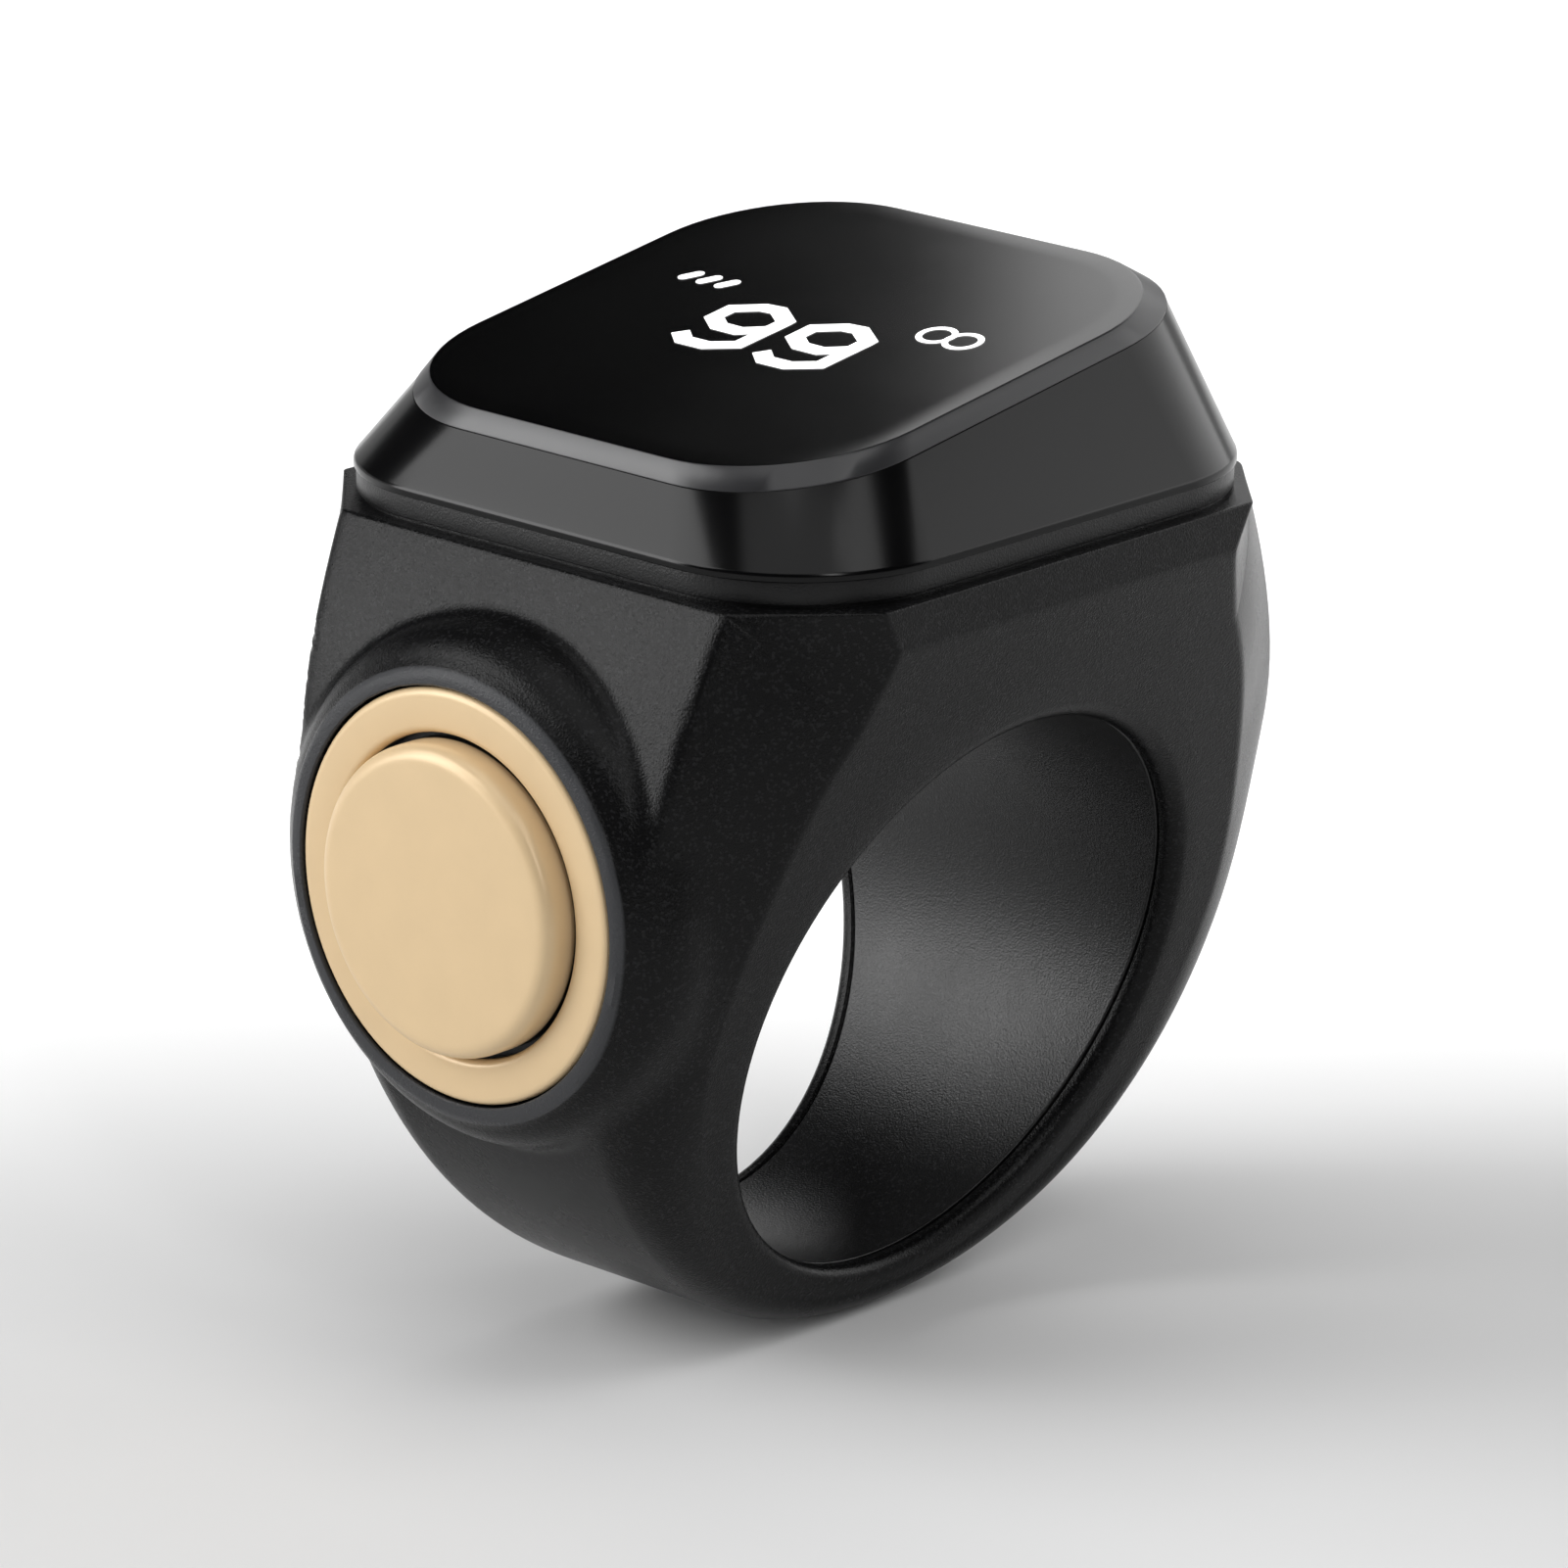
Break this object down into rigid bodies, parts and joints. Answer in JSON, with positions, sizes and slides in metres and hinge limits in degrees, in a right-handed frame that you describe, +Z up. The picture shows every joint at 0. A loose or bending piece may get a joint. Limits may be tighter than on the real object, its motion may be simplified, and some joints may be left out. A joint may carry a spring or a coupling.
{
  "type": "smart counter ring",
  "caption": "Wide finger ring with a tilted glass display on top and a round push button on its flank; pressing the button advances the count shown on the display.",
  "frame": {"origin": "centre of the finger hole, halfway between the ring's two faces", "axes": "+Y along the finger hole towards the back face, +Z up to the display, +X away from the push button, which faces -X"},
  "size_m": [0.0326, 0.0242, 0.035],
  "materials": {
    "body_plastic": "near-black moulded plastic with a very fine grain that sparkles a little",
    "liner_plastic": "smooth satin black plastic in the finger hole",
    "frame_plastic": "plain satin black plastic, seen only as a short neck",
    "cover_gloss": "smooth glossy black plastic",
    "display_glass": "black-backed polished glass with a narrow bevel",
    "lit_display": "lit white figures of the display panel",
    "champagne_satin": "champagne satin finish with bright rounded edges",
    "black_rubber": "dull black sealing rubber",
    "bare_steel": "bright drawn or pressed steel",
    "gold_contact": "gold-plated contact metal",
    "board_green": "green solder mask on glass-fibre board",
    "chip_black": "dull black moulded chip body",
    "white_plastic": "white moulded plastic or ceramic",
    "battery_foil": "silver laminated foil pouch",
    "ribbon_film": "amber film of a flat flexible ribbon",
    "foam_pad": "thin grey adhesive foam"
  },
  "bodies": {
    "root": {"ring_body": "body_plastic", "inner_liner": "liner_plastic", "mid_frame": "frame_plastic", "top_cover": "cover_gloss", "glass_gasket": "black_rubber", "display_glass": "display_glass", "display_bracket": "white_plastic", "display_panel": "lit_display", "display_ribbon": "ribbon_film", "main_board": "board_green", "radio_chip": "chip_black", "memory_chip": "chip_black", "charge_chip": "chip_black", "crystal_can": "bare_steel", "chip_antenna": "white_plastic", "ribbon_connector": "white_plastic", "battery_pad": "foam_pad", "battery": "battery_foil", "battery_tab": "bare_steel", "motor_pad": "foam_pad", "vibration_motor": "bare_steel", "motor_tab": "ribbon_film", "contact_ribbon": "ribbon_film", "charge_contact_front": "gold_contact", "charge_contact_back": "gold_contact", "button_bezel": "champagne_satin", "bezel_seal": "black_rubber", "return_spring": "bare_steel", "switch_housing": "chip_black", "switch_board": "board_green", "button_ribbon": "ribbon_film"},
    "button": {"button_cap": "champagne_satin", "button_stem": "bare_steel", "switch_pin": "white_plastic"}
  },
  "joints": [
    {"name": "button_press", "type": "slide", "parent": "root", "child": "button", "axis": [1, 0, 0], "range_m": [0, 0.0005], "stiffness_N_per_m": 1500, "deforming": ["return_spring"]}
  ]
}
